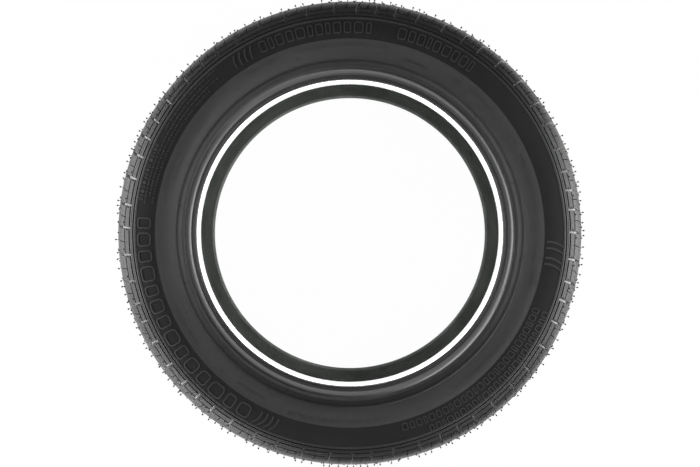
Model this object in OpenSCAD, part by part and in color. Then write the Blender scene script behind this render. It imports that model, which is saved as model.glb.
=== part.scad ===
// A tubeless trailer tyre for a 13 inch rim, lying on its side.
// The wheel axis is Z, the origin is the centre of the tyre, and both sidewalls are alike.
// The section is drawn once, in radius and height above the middle plane, and turned round the axis.

/* [Overall] */
// Outer diameter over the middle of the tread
tyre_d = 522; // [514:1:528]
// Width over the sidewalls at their widest
section_w = 198; // [194:1:204]
// Where the sidewall is widest, as a share of the way from the rim seat to the tread
wide_share = 0.4475; // [0.43:0.0025:0.47]

/* [Tread] */
// Width of the tread between its two edges
tread_w = 168; // [164:1:172]
// Radius of the crown across the tread
crown_r = 260; // [240:5:300]
// Depth of the four long grooves
groove_depth = 7.5; // [6:0.5:8.5]
// Rubber and cords under the long grooves
under_t = 8.5; // [7:0.5:11]
// Width of the two inner long grooves at the surface
inner_groove_w = 9; // [7:0.5:11]
// Distance of the inner long grooves from the middle plane
inner_groove_at = 18; // [16:1:20]
// Width of the two outer long grooves at the surface
outer_groove_w = 8; // [6:0.5:10]
// Distance of the outer long grooves from the middle plane
outer_groove_at = 47; // [44:1:49]
// Slope of the groove walls in degrees
groove_draft = 12; // [6:1:16]

/* [Blocks] */
// Short, middle and long block, as shares of the middle one
block_sizes = [0.84, 1, 1.18]; // [0.8:0.02:1.2]
// Order of the block sizes, which repeats round the tyre
block_order = [1, 0, 0, 1, 2, 1, 2, 2, 1, 0, 1, 2]; // [0:1:2]
// Times the order repeats round the tyre
order_repeats = 5; // [4:1:6]
// Width of the slot between two shoulder blocks
slot_w = 2.8; // [2:0.1:4]
// Depth of that slot at the tread edge
slot_depth = 5; // [3:0.5:6]
// Depth of that slot where it runs down the shoulder
slot_side_depth = 2; // [1:0.1:3]
// Lean of the slots from straight across, in degrees
slot_lean = 11; // [0:1:18]
// Width of the fine cut in the middle of each block
sipe_w = 0.8; // [0.6:0.1:1.2]
// Lean of the fine cuts from straight across, in degrees
sipe_lean = 16; // [0:1:20]
// Depth of the fine cuts
sipe_depth = 4.5; // [2:0.5:6]
// Depth of the fine cut where it runs down the shoulder
sipe_side_depth = 1.8; // [0.6:0.1:2.4]
// Share of the ribs beside the shoulder that their cuts reach across
rib_cut_share = 0.55; // [0.3:0.05:0.7]
// Width of the cuts in those ribs
rib_cut_w = 1.4; // [0.8:0.1:2]
// Lean of the cuts in those ribs, in degrees
rib_cut_lean = 24; // [0:1:30]

/* [Shoulder rings] */
// From the tread edge in to the fine line round the shoulder blocks
block_line_in = 5.5; // [4:0.5:7]
// From the tread edge in to the groove where the slots end
slot_end_in = 11; // [9.5:0.5:12]
// From the tread edge in to the deep line above the sidewall
deep_line_in = 15.4; // [14:0.2:16]
// From the tread edge in to the thin raised ring that heads the sidewall
top_ring_in = 17.3; // [17.1:0.1:17.6]
// Height of the thin raised ring
top_ring_h = 0.6; // [0.3:0.1:1]
// Width of the fine lines
line_w = 0.8; // [0.5:0.1:1.2]
// Depth of the fine lines
line_depth = 0.8; // [0.4:0.1:1]
// Width of the deep line
deep_line_w = 1.3; // [0.8:0.1:1.6]
// Depth of the deep line
deep_line_depth = 1.4; // [0.6:0.1:1.6]

/* [Sidewall] */
// Thickness of the sidewall
side_t = 8; // [6:0.5:10]
// From the widest point in to the foot of the sunk band
band_foot_in = 1; // [0.5:0.5:2.5]
// From the tread edge in to the head of the sunk band
band_head_in = 18.8; // [18.6:0.2:21]
// Depth of the sunk band
band_depth = 0.4; // [0.2:0.1:0.8]
// From the rim seat out to the rim line, where the sidewall meets the rim flange
rim_line_out = 20.6; // [19:0.5:22.5]
// How far the rim line lies inside the widest point
rim_line_in = 6.5; // [5:0.5:8]
// Height of the raised rim line
rim_line_h = 0.7; // [0.4:0.1:1]
// Radius of the hollow that takes the curl of the rim flange
flange_hollow_r = 9.6; // [8.5:0.1:11]
// From the rim seat out to the faint line in that hollow
hollow_line_out = 15.6; // [14:0.2:17]

/* [Bead] */
// Diameter of the rim seat that the bead grips
rim_seat_d = 330.2; // [329:0.1:331]
// Distance between the two bead faces
bead_spacing = 168.4; // [164:0.2:174]
// Radius of the bead heel
heel_r = 5; // [4:0.5:6.5]
// Width of the straight part of the bead seat
seat_land = 7; // [6:0.5:8]
// How far the bead toe reaches inside the rim seat
toe_in = 2.3; // [1.6:0.1:3]
// Width of the bead from its face to its toe
bead_w = 21; // [19:0.5:23]
// Rounding of the bead toe
toe_r = 0.8; // [0.5:0.1:1.2]
// Width of the bead's foot, between its toe and the slope inside the tyre
bead_foot = 3; // [2:0.5:5]
// Length of the straight slope that rises from the foot to the sidewall
slope_length = 15; // [12:0.5:17]
// Steepness of that slope, in degrees
inner_slope = 50; // [44:1:56]
// From the rim seat out to the rounded ring on the bead face
bead_ring_out = 8.6; // [8:0.1:9.2]
// Rounding of that ring
bead_ring_round = 3.6; // [3:0.1:3.8]
// Height of that ring above the bead face
bead_ring_h = 0.8; // [0.4:0.1:1.2]
// From the rim seat out to the groove between heel and ring
heel_groove_out = 4.5; // [4:0.1:4.9]

/* [Hidden] */
$fn = 180;

rubber = "#2b2d2b";

// How far the cutters run on into the air
past = 20;
// Straight steps in a long arc, and in a short one
long_steps = 5;
short_steps = 4;
// Degrees by which the inside of the crown stops short of the sidewall's
corner_gap = 3;

tread_r = tyre_d / 2;
crown_c = tread_r - crown_r;
side_z = section_w / 2;
face_z = bead_spacing / 2;
seat_r = rim_seat_d / 2;
toe_z = face_z - bead_w;
edge_z = tread_w / 2;
wide_r = seat_r + wide_share * (tread_r - seat_r);
rim_line_r = seat_r + rim_line_out;
rim_line_z = side_z - rim_line_in;

// Radius of the tread surface at a height above the middle plane
function crown_at(z) = crown_c + sqrt(crown_r * crown_r - z * z);

// Radius of the arc that is level at the widest point and falls by dz over dr
function arc_through(dr, dz) = (dr * dr + dz * dz) / (2 * dz);

edge_r = crown_at(edge_z);
upper_arc = arc_through(edge_r - wide_r, side_z - edge_z);
lower_arc = arc_through(wide_r - rim_line_r, rim_line_in);
upper_c = [wide_r, side_z - upper_arc];
lower_c = [wide_r, side_z - lower_arc];

// Radii of the rings, from the tread edge inwards
block_line_r = edge_r - block_line_in;
slot_end_r = edge_r - slot_end_in;
deep_line_r = edge_r - deep_line_in;
top_ring_r = edge_r - top_ring_in;
band_head_r = edge_r - band_head_in;
band_foot_r = wide_r - band_foot_in;
hollow_line_r = seat_r + hollow_line_out;
bead_ring_r = seat_r + bead_ring_out;
heel_groove_r = seat_r + heel_groove_out;

// Height of the sidewall surface above the middle plane, outside the rim line
function side_at(r) =
    r > wide_r
    ? upper_c[1] + sqrt(upper_arc * upper_arc - pow(r - wide_r, 2))
    : lower_c[1] + sqrt(lower_arc * lower_arc - pow(r - wide_r, 2));

// Direction square to the sidewall there, from the radius towards the side
function side_lean(r) = bearing(r > wide_r ? upper_c : lower_c, [r, side_at(r)]);

// The hollow for the rim flange touches the bead face at hollow_c
hollow_rise = rim_line_z - face_z;
hollow_c = rim_line_r - sqrt(pow(flange_hollow_r, 2) - pow(hollow_rise - flange_hollow_r, 2));

// Height of the hollow's surface at a radius
function hollow_at(r) =
    face_z + flange_hollow_r - sqrt(pow(flange_hollow_r, 2) - pow(r - hollow_c, 2));

// Block lengths in degrees, and the angle at which each block starts
block_count = len(block_order) * order_repeats;
function block_share(i) = block_sizes[block_order[i % len(block_order)]];
function share_before(i) = i <= 0 ? 0 : share_before(i - 1) + block_share(i - 1);
share_all = share_before(block_count);
function block_start(i) = 360 * share_before(i) / share_all;
function block_mid(i) = 360 * (share_before(i) + block_share(i) / 2) / share_all;

// Points along an arc, from one angle to another
function arc(c, r, from, to, steps) =
    [for (i = [0:steps]) let (a = from + (to - from) * i / steps) c + r * [cos(a), sin(a)]];

// Where two circles cross, on the side away from the axis
function crossing(c1, r1, c2, r2) =
    let (d = norm(c2 - c1), u = (c2 - c1) / d, along = (d * d + r1 * r1 - r2 * r2) / (2 * d))
    c1 + along * u + sqrt(r1 * r1 - along * along) * [-u[1], u[0]];

hollow_top = [hollow_c, face_z + flange_hollow_r];
heel_c = [seat_r + heel_r, face_z - heel_r];
ring_c = [bead_ring_r, face_z + bead_ring_h - bead_ring_round];
toe_c = [seat_r - toe_in + toe_r, toe_z + toe_r];
inner_crown = crown_r - groove_depth - under_t;
inner_edge = crossing([crown_c, 0], inner_crown, upper_c, upper_arc - side_t);

// Angle of a point as seen from a centre
function bearing(c, p) = atan2(p[1] - c[1], p[0] - c[0]);

// Half the angle that the rounded ring takes up above the bead face
ring_span = acos(1 - bead_ring_h / bead_ring_round);

// The outer outline of one half, from the middle of the tread to the bead toe
band_head = acos((band_head_r - wide_r) / upper_arc);
band_foot = acos((band_foot_r - wide_r) / lower_arc);
rim_line = [rim_line_r, rim_line_z];
outer_points = concat(
    arc([crown_c, 0], crown_r, 0, asin(edge_z / crown_r), short_steps),
    arc(upper_c, upper_arc, bearing(upper_c, [edge_r, edge_z]), band_head, short_steps),
    arc(upper_c, upper_arc - band_depth, band_head, 90, long_steps),
    [[band_foot_r, side_z - band_depth]],
    arc(lower_c, lower_arc, band_foot, bearing(lower_c, rim_line), long_steps),
    arc(hollow_top, flange_hollow_r, bearing(hollow_top, rim_line), -90, long_steps),
    arc(ring_c, bead_ring_round, 90 - ring_span, 90 + ring_span, short_steps),
    arc(heel_c, heel_r, 90, 180, long_steps),
    [[seat_r, heel_c[1] - seat_land]],
    arc(toe_c, toe_r, 180, 270, short_steps / 2)
);

// The inner outline of one half, from the bead toe to the middle of the air space
foot = [seat_r - toe_in + bead_foot, toe_z];
slope_end = foot + slope_length * [cos(inner_slope), sin(inner_slope)];
wall_top = side_z - side_t;
wall_arc = arc_through(wide_r - slope_end[0], wall_top - slope_end[1]);
wall_c = [wide_r, wall_top - wall_arc];
inner_points = concat(
    [foot],
    arc(wall_c, wall_arc, bearing(wall_c, slope_end), 90, short_steps),
    arc(upper_c, upper_arc - side_t, 90, bearing(upper_c, inner_edge), long_steps),
    arc([crown_c, 0], inner_crown, bearing([crown_c, 0], inner_edge) - corner_gap, 0, short_steps)
);

// Leaves out a point that repeats the one before it
function distinct(p) = [for (i = [0:len(p) - 1]) if (i == 0 || norm(p[i] - p[i - 1]) > 0.01) p[i]];

// The same points below the middle plane, in the opposite order
function mirrored(p) = [for (i = [len(p) - 1:-1:1]) [p[i][0], -p[i][1]]];

outer_half = distinct(outer_points);
inner_half = distinct(inner_points);

// A narrow cut across the sidewall's surface at a radius
module ring_line(r, w, depth) {
    translate([r, side_at(r)]) rotate(side_lean(r)) square([2 * depth, w], center = true);
}

// The fine lines that are turned round the shoulder, the sidewall and the bead
module ring_lines() {
    ring_line(block_line_r, line_w, line_depth);
    ring_line(slot_end_r, 1.5 * line_w, 1.5 * line_depth);
    ring_line(deep_line_r, deep_line_w, deep_line_depth);
    translate([hollow_line_r, hollow_at(hollow_line_r)]) circle(line_w / 2, $fn = 4);
    translate([heel_groove_r, face_z]) circle(line_w, $fn = 4);
}

// The long grooves of one half, with sloping walls
module long_groove(at, w) {
    floor_w = w - 2 * groove_depth * tan(groove_draft);
    open_w = w + 2 * past * tan(groove_draft);
    translate([crown_at(at), at])
        polygon([
            [-groove_depth, -floor_w / 2],
            [past, -open_w / 2],
            [past, open_w / 2],
            [-groove_depth, floor_w / 2],
        ]);
}

// What is added to one half of the section
module half_rings() {
    ring_line(top_ring_r, 2 * top_ring_h, top_ring_h);
    translate([rim_line_r, rim_line_z]) circle(rim_line_h, $fn = 6);
}

// What is cut from one half of the section
module half_cut_lines() {
    ring_lines();
    long_groove(inner_groove_at, inner_groove_w);
    long_groove(outer_groove_at, outer_groove_w);
}

// The whole section of the tyre, right of the axis
module section() {
    difference() {
        union() {
            polygon(concat(outer_half, inner_half, mirrored(inner_half), mirrored(outer_half)));
            half_rings();
            mirror([0, 1]) half_rings();
        }
        half_cut_lines();
        mirror([0, 1]) half_cut_lines();
    }
}

// The tyre without its cuts across: the section turned once round the axis
module turned_body() {
    rotate_extrude() section();
}

// A flat cutter that stands across the tread and leans along it
module blade(angle, pivot_z, lean, w) {
    rotate([0, 0, angle])
        translate([0, 0, pivot_z])
            rotate([lean, 0, 0])
                translate([0, 0, -pivot_z])
                    rotate([90, 0, 0])
                        linear_extrude(w, center = true)
                            children();
}

// What a blade takes from the shoulder: all that lies above the floor of the cut
module shoulder_cut(depth, side_depth, end_r) {
    difference() {
        translate([end_r, outer_groove_at])
            square([tread_r + past - end_r, side_z - outer_groove_at]);
        intersection() {
            translate([crown_c, 0]) circle(crown_r - depth);
            translate(upper_c) circle(upper_arc - side_depth);
        }
    }
}

// What a blade takes from a rib between two heights
module rib_cut(from, to) {
    difference() {
        translate([crown_at(to) - 2 * sipe_depth, from])
            square([2 * sipe_depth + past, to - from]);
        translate([crown_c, 0]) circle(crown_r - sipe_depth);
    }
}

// All cuts across the shoulder blocks and ribs of one half
module half_cuts() {
    rib_from = inner_groove_at;
    rib_to = outer_groove_at - outer_groove_w / 2;
    for (i = [0:block_count - 1]) {
        blade(block_start(i), edge_z, -slot_lean, slot_w)
            shoulder_cut(slot_depth, slot_side_depth, slot_end_r);
        blade(block_mid(i), edge_z, -sipe_lean, sipe_w)
            shoulder_cut(sipe_depth, sipe_side_depth, block_line_r);
        blade(block_start(i), rib_to, rib_cut_lean, rib_cut_w)
            rib_cut(rib_to - (rib_to - rib_from) * rib_cut_share, outer_groove_at);
    }
}

// The whole tyre, with the same blocks on both sides
module tyre() {
    color(rubber)
        difference() {
            turned_body();
            half_cuts();
            rotate([180, 0, 0]) half_cuts();
        }
}

tyre();
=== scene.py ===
"""Models and dresses a trailer tyre that lies on its side, and sets it on a pale stage."""

import itertools
import math
import random

import bpy
from bpy.props import FloatProperty, FloatVectorProperty, IntProperty, PointerProperty
from mathutils import Matrix, Vector


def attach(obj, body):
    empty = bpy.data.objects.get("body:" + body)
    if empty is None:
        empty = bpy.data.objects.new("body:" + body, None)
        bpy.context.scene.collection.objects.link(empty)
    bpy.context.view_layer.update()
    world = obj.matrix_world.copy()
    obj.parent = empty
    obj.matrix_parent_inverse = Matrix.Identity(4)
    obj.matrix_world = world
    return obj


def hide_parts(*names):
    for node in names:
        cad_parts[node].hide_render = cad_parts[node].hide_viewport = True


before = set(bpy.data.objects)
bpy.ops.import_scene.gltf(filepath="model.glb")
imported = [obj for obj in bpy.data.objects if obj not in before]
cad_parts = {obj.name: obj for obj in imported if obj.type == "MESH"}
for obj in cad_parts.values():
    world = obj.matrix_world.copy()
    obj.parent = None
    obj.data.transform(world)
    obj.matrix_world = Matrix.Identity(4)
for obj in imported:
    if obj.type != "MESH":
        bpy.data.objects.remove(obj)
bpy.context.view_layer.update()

bl_info = {
    "name": "Trailer tyre",
    "version": (1, 0, 0),
    "blender": (4, 5, 0),
    "location": "View3D > Sidebar > Tyre",
    "description": "Models and dresses a trailer tyre on a pale stage",
    "category": "Object",
}

MM = 0.001
BODY = "root"
# Edges bent more than this stay sharp
SHARP_EDGE = math.radians(30)

# Lengths of the shoulder blocks against the middle one, and the order in which they follow
BLOCK_SIZES = (0.84, 1.0, 1.18)
BLOCK_ORDER = (1, 0, 0, 1, 2, 1, 2, 2, 1, 0, 1, 2)
ORDER_REPEATS = 5


def length(name, text, size):
    """A length property, its default given in millimetres."""
    return FloatProperty(name=name, description=text, default=size * MM,
                         min=0.0, unit="LENGTH", precision=5)


def tilt_angle(name, text, degrees):
    """An angle property, its default given in degrees."""
    return FloatProperty(name=name, description=text, default=math.radians(degrees), subtype="ANGLE")


class TyreSection(bpy.types.PropertyGroup):
    """Sizes of the tyre's section."""
    tyre_d: length("Outer diameter", "Diameter over the middle of the tread", 522)
    section_w: length("Section width", "Width over both sidewalls", 198)
    wide_r: length("Widest radius", "Radius at which the sidewall is widest", 208.015)
    tread_w: length("Tread width", "Width between the tread's edges", 168)
    crown_r: length("Crown radius", "Radius of the crown across the tread", 260)
    edge_round: length("Tread edge rounding", "Rounding of the tread's edge", 2.0)
    groove_depth: length("Groove depth", "Depth of the four long grooves", 7.5)
    under_t: length("Base thickness", "Rubber and cords under the grooves", 8.5)
    inner_groove_w: length("Inner groove width", "Width of the inner long grooves", 9)
    inner_groove_at: length("Inner groove place", "Distance from the middle plane", 18)
    outer_groove_w: length("Outer groove width", "Width of the outer long grooves", 8)
    outer_groove_at: length("Outer groove place", "Distance from the middle plane", 47)
    side_t: length("Sidewall thickness", "Thickness of the sidewall", 8)
    rim_line_r: length("Rim line radius", "Where the sidewall meets the rim flange", 185.7)
    rim_line_in: length("Rim line inset", "How far it lies inside the widest point", 6.5)
    hollow_round: length("Flange hollow", "Radius of the hollow for the rim flange", 9.6)
    rim_seat_d: length("Rim seat diameter", "Diameter that the bead grips", 330.2)
    bead_spacing: length("Bead spacing", "Distance between the bead faces", 168.4)
    heel_r: length("Heel radius", "Rounding of the bead heel", 5)
    seat_land: length("Seat land", "Width of the straight part of the seat", 7)
    toe_d: length("Toe diameter", "Diameter at the bead toe", 325.6)
    bead_w: length("Bead width", "From the bead's face to its toe", 21)
    toe_r: length("Toe rounding", "Rounding of the bead toe", 0.8)
    bead_foot: length("Bead foot", "Width between the toe and the slope inside the tyre", 3)
    slope_length: length("Slope length", "Straight slope from the foot to the sidewall", 15)
    inner_slope: tilt_angle("Inner slope", "Steepness of that slope", 50)
    bead_ring_r: length("Bead ring radius", "Radius of the rounded ring on the bead", 174.1)
    bead_ring_round: length("Bead ring rounding", "Rounding of that ring", 7.0)
    bead_ring_h: length("Bead ring height", "Height of that ring", 0.9)
    turn_steps: IntProperty(name="Steps round", description="Faces round the tyre",
                            default=264, min=60)


class TyreCuts(bpy.types.PropertyGroup):
    """Sizes of the cuts across the tread."""
    slot_w: length("Slot width", "Width of the slots between shoulder blocks", 2.8)
    slot_depth: length("Slot depth", "Depth at the tread's edge", 5)
    slot_side_depth: length("Slot side depth", "Depth down the shoulder", 2)
    slot_end_r: length("Slot end", "Radius at which the slots end", 236)
    slot_lean: tilt_angle("Slot lean", "Lean from straight across", 11)
    sipe_lean: tilt_angle("Fine cut lean", "Lean from straight across", 16)
    sipe_w: length("Fine cut width", "Width of the fine cuts", 0.8)
    sipe_depth: length("Fine cut depth", "Depth of the fine cuts", 4.5)
    sipe_side_depth: length("Fine cut side depth", "Depth down the shoulder", 1.8)
    sipe_end_r: length("Fine cut end", "Radius at which the fine cuts end", 241.5)
    rib_cut_w: length("Rib cut width", "Width of the cuts in the ribs", 1.4)
    rib_cut_share: FloatProperty(name="Rib cut share", description="Share of the rib that is cut",
                                 default=0.55, min=0.1, max=0.8)
    rib_cut_lean: tilt_angle("Rib cut lean", "Lean from straight across", 24)


class TyreFinish(bpy.types.PropertyGroup):
    """Colours and finish of the rubber and the stage."""
    rubber: FloatVectorProperty(name="Rubber", description="Colour of the rubber", subtype="COLOR",
                                size=3, default=(0.015, 0.0158, 0.015), min=0.0, max=1.0)
    floor: FloatVectorProperty(name="Floor", description="Colour of the floor", subtype="COLOR",
                               size=3, default=(0.9, 0.9, 0.9), min=0.0, max=1.0)


def sizes():
    """The section's sizes."""
    return bpy.context.scene.tyre_section


def circle_point(centre, radius, angle):
    """Point on a circle in the section, as radius and height."""
    return (centre[0] + radius * math.cos(angle), centre[1] + radius * math.sin(angle))


def arc(centre, radius, start, end, steps):
    """Points along an arc in the section, both ends included."""
    angles = [start + (end - start) * i / steps for i in range(steps + 1)]
    return [circle_point(centre, radius, angle) for angle in angles]


def bearing(centre, point):
    """Angle of a point as seen from a centre."""
    return math.atan2(point[1] - centre[1], point[0] - centre[0])


class Section:
    """The form lines of one half of the section, worked out from the sizes."""

    def __init__(self, s):
        self.s = s
        self.tread_r = s.tyre_d / 2
        self.crown_c = (self.tread_r - s.crown_r, 0.0)
        self.side_z = s.section_w / 2
        self.face_z = s.bead_spacing / 2
        self.edge_z = s.tread_w / 2
        self.edge_r = self.crown_at(self.edge_z)
        self.rim_line_z = self.side_z - s.rim_line_in
        self.upper_arc = self.arc_through(self.edge_r - s.wide_r, self.side_z - self.edge_z)
        self.lower_arc = self.arc_through(s.wide_r - s.rim_line_r, s.rim_line_in)
        self.upper_c = (s.wide_r, self.side_z - self.upper_arc)
        self.lower_c = (s.wide_r, self.side_z - self.lower_arc)
        rise = self.rim_line_z - self.face_z
        reach = math.sqrt(s.hollow_round ** 2 - (rise - s.hollow_round) ** 2)
        self.hollow_c = (s.rim_line_r - reach, self.face_z + s.hollow_round)
        self.heel_c = (s.rim_seat_d / 2 + s.heel_r, self.face_z - s.heel_r)

    @staticmethod
    def arc_through(dr, dz):
        """Radius of the arc that starts level and falls by dz over dr."""
        return (dr * dr + dz * dz) / (2 * dz)

    def crown_at(self, z):
        """Radius of the tread's surface at a height."""
        return self.crown_c[0] + math.sqrt(self.s.crown_r ** 2 - z * z)

    def side_centre(self, r):
        """Centre and radius of the sidewall's arc at a radius from the axis."""
        if r > self.s.wide_r:
            return self.upper_c, self.upper_arc
        return self.lower_c, self.lower_arc

    def side_at(self, r):
        """Height of the sidewall at a radius outside the rim line, flat under the highest marks."""
        centre, radius = self.side_centre(r)
        height = centre[1] + math.sqrt(radius ** 2 - (r - centre[0]) ** 2)
        return min(height, self.side_z - MARK_ROOM)

    def side_normal(self, r):
        """Outward direction of the sidewall, as radius and height."""
        centre, radius = self.side_centre(r)
        return ((r - centre[0]) / radius, (self.side_at(r) - centre[1]) / radius)

    def hollow_at(self, r):
        """Height of the flange hollow at a radius."""
        return self.hollow_c[1] - math.sqrt(self.s.hollow_round ** 2 - (r - self.hollow_c[0]) ** 2)


# How far the casing's side stays below the section's width, which the marks reach
MARK_ROOM = 0.3 * MM
# The sunk band's middle radius and width, in mm
BAND_R, BAND_W = 217.64, 21.25
# Rings turned into the side, outermost first: radius, full width, width at the top, height, in mm
SIDE_RINGS = (
    (241.5, 0.9, 0.6, -0.8),
    (236.0, 1.4, 1.0, -1.1),
    (233.8, 0.5, 0.2, -0.3),
    (231.6, 1.5, 1.2, -1.4),
    (229.7, 1.3, 0.5, 0.45),
    (BAND_R, BAND_W, 20.05, -0.4),
    (186.6, 1.4, 0.6, 0.5),
)
# Steps down the side, and the least distance between two points of its outline
SIDE_STEPS = 26
SIDE_LEAST = 0.06 * MM

# Draft of the long grooves' walls, and the rounding of their lips
GROOVE_DRAFT = math.radians(12)
GROOVE_LIP = 0.4 * MM

# The line in the flange hollow: radius, half width, depth
HOLLOW_LINE_R, HOLLOW_LINE_HALF, HOLLOW_LINE_DEPTH = 180.7 * MM, 0.3 * MM, 0.35 * MM
# The groove between the bead ring and the heel: radius, half width of its floor, depth
BEAD_GROOVE_R, BEAD_GROOVE_HALF, BEAD_GROOVE_DEPTH = 169.7 * MM, 0.3 * MM, 0.7 * MM
# Where that groove runs out on the heel
HEEL_TOP = math.radians(103)
# Fine lines round the heel: angles from level and half width, in degrees, and depth
HEEL_LINES = (18, 34, 50, 66, 80)
HEEL_LINE_HALF = 3.5
HEEL_LINE_DEPTH = 0.25 * MM

# Where the inside of the side starts from its top, and how far two inner arcs stop from their corner
INNER_START = math.radians(84)
SIDE_TRIM, CROWN_TRIM = 0.12, 0.05


def ring_height(r):
    """How far the side stands above its base curve at a radius, from the rings turned into it."""
    height = 0.0
    for centre, width, top, rise in SIDE_RINGS:
        off = abs(r / MM - centre)
        if off < width / 2:
            height += rise * min(1.0, (width / 2 - off) / ((width - top) / 2))
    return height * MM


def surface_at(sec, r):
    """Point and outward direction of the upper side at a radius, as radius and height pairs."""
    if r < sec.s.rim_line_r:
        z = sec.hollow_at(max(r, sec.hollow_c[0]))
        normal = ((sec.hollow_c[0] - r) / sec.s.hollow_round, (sec.hollow_c[1] - z) / sec.s.hollow_round)
        return (r, z), normal
    normal = sec.side_normal(r)
    rise = ring_height(r)
    return (r + normal[0] * rise, sec.side_at(r) + normal[1] * rise), normal


def side_points(sec):
    """The side's outline from the tread edge to the rim line, with its rings."""
    s = sec.s
    start = sec.edge_r - s.edge_round * 0.8
    stops = [start - (start - s.rim_line_r) * i / SIDE_STEPS for i in range(SIDE_STEPS + 1)]
    for centre, width, top, _ in SIDE_RINGS:
        stops += [(centre + off) * MM for off in (-width / 2, -top / 2, top / 2, width / 2)]
    points, last = [], math.inf
    for r in sorted((r for r in stops if s.rim_line_r <= r <= start), reverse=True):
        if last - r >= SIDE_LEAST:
            points.append(surface_at(sec, r)[0])
            last = r
    return points


def groove_points(sec, at, width):
    """Corners of a long groove, from its side near the middle plane outwards."""
    depth, lip = sec.s.groove_depth, GROOVE_LIP
    floor_r = sec.crown_at(at) - depth
    draft = depth * math.tan(GROOVE_DRAFT)
    low, high = at - width / 2, at + width / 2
    return [
        (sec.crown_at(low - lip), low - lip),
        (sec.crown_at(low) - lip * 0.6, low + lip * 0.3),
        (floor_r + lip, low + draft),
        (floor_r, low + draft + lip),
        (floor_r, high - draft - lip),
        (floor_r + lip, high - draft),
        (sec.crown_at(high) - lip * 0.6, high - lip * 0.3),
        (sec.crown_at(high + lip), high + lip),
    ]


def crown_points(sec, low, high, *shares):
    """Points on the tread's surface at shares of the way from one height to another."""
    heights = [low * (1 - share) + high * share for share in shares]
    return [(sec.crown_at(z), z) for z in heights]


def tread_points(sec):
    """The tread's outline from the middle plane to its edge."""
    s = sec.s
    inner_half, outer_half = s.inner_groove_w / 2, s.outer_groove_w / 2
    last = sec.edge_z - s.edge_round
    return (
        crown_points(sec, 0.0, s.inner_groove_at - inner_half, 0.0, 0.5)
        + groove_points(sec, s.inner_groove_at, s.inner_groove_w)
        + crown_points(sec, s.inner_groove_at + inner_half, s.outer_groove_at - outer_half, 0.4, 0.7)
        + groove_points(sec, s.outer_groove_at, s.outer_groove_w)
        + crown_points(sec, s.outer_groove_at + outer_half, last, 0.25, 0.5, 0.75, 1.0)
    )


def bead_ring_half(s):
    """Half the width of the ring on the bead."""
    return s.bead_ring_round * math.sin(bead_ring_span(s))


def bead_ring_span(s):
    """Half the angle that the ring on the bead takes up of its circle."""
    return math.acos(1 - s.bead_ring_h / s.bead_ring_round)


def hollow_points(sec):
    """The outline of the flange hollow and the line in it, from the rim line to the bead ring."""
    s = sec.s
    line = (s.rim_line_r, sec.rim_line_z)
    points = arc(sec.hollow_c, s.hollow_round, bearing(sec.hollow_c, line), -math.pi / 2, 9)[1:]
    for off, depth in ((HOLLOW_LINE_HALF, 0.0), (0.0, HOLLOW_LINE_DEPTH), (-HOLLOW_LINE_HALF, 0.0)):
        points.append((HOLLOW_LINE_R + off, sec.hollow_at(HOLLOW_LINE_R + off) - depth))
    ring_end = s.bead_ring_r + bead_ring_half(s)
    return [p for p in sorted(points, reverse=True) if p[0] > ring_end]


def heel_points(sec):
    """The outline of the heel with its fine lines, from the bead groove to the seat."""
    points = []
    for angle in HEEL_LINES[::-1]:
        for off, depth in ((-HEEL_LINE_HALF, 0.0), (0.0, HEEL_LINE_DEPTH), (HEEL_LINE_HALF, 0.0)):
            turn = math.radians(180 - angle + off)
            points.append(circle_point(sec.heel_c, sec.s.heel_r - depth, turn))
    return points


def bead_points(sec):
    """The outline from the rim line over the bead's face and heel to its toe."""
    s = sec.s
    ring_c = (s.bead_ring_r, sec.face_z + s.bead_ring_h - s.bead_ring_round)
    span = bead_ring_span(s)
    points = hollow_points(sec)
    points += arc(ring_c, s.bead_ring_round, math.pi / 2 - span, math.pi / 2 + span, 8)
    groove_z = sec.face_z - BEAD_GROOVE_DEPTH
    points += [
        (BEAD_GROOVE_R + 0.8 * MM, sec.face_z),
        (BEAD_GROOVE_R + BEAD_GROOVE_HALF, groove_z),
        (BEAD_GROOVE_R - BEAD_GROOVE_HALF, groove_z),
        (BEAD_GROOVE_R - 0.7 * MM, circle_point(sec.heel_c, s.heel_r, HEEL_TOP)[1]),
    ]
    points += heel_points(sec)
    seat_r, land_end = s.rim_seat_d / 2, sec.heel_c[1] - s.seat_land
    toe_c = (s.toe_d / 2 + s.toe_r, sec.face_z - s.bead_w + s.toe_r)
    points += [
        (seat_r, sec.heel_c[1]),
        (seat_r, land_end),
        ((seat_r + s.toe_d / 2) / 2, (land_end + toe_c[1]) / 2),
    ]
    return points + arc(toe_c, s.toe_r, math.pi, 1.5 * math.pi, 4)


def inner_points(sec):
    """The air space's outline from the bead toe to the middle plane."""
    s = sec.s
    toe_z = sec.face_z - s.bead_w
    foot = (s.toe_d / 2 + s.bead_foot, toe_z)
    slope_end = circle_point(foot, s.slope_length, s.inner_slope)
    wall_top = sec.side_z - s.side_t
    wall_arc = sec.arc_through(s.wide_r - slope_end[0], wall_top - slope_end[1])
    wall_c = (s.wide_r, wall_top - wall_arc)
    upper = sec.upper_arc - s.side_t
    crown = s.crown_r - s.groove_depth - s.under_t
    dx, dz = sec.upper_c[0] - sec.crown_c[0], sec.upper_c[1]
    gap = math.hypot(dx, dz)
    along = (gap * gap + crown * crown - upper * upper) / (2 * gap)
    off = math.sqrt(crown * crown - along * along)
    edge = (sec.crown_c[0] + (along * dx - off * dz) / gap, (along * dz + off * dx) / gap)
    points = [foot, ((foot[0] + slope_end[0]) / 2, (foot[1] + slope_end[1]) / 2)]
    points += arc(wall_c, wall_arc, bearing(wall_c, slope_end), math.pi / 2, 7)
    points += arc(sec.upper_c, upper, INNER_START, bearing(sec.upper_c, edge) + SIDE_TRIM, 6)
    points += arc(sec.crown_c, crown, bearing(sec.crown_c, edge) - CROWN_TRIM, 0.0, 6)
    return points


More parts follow.
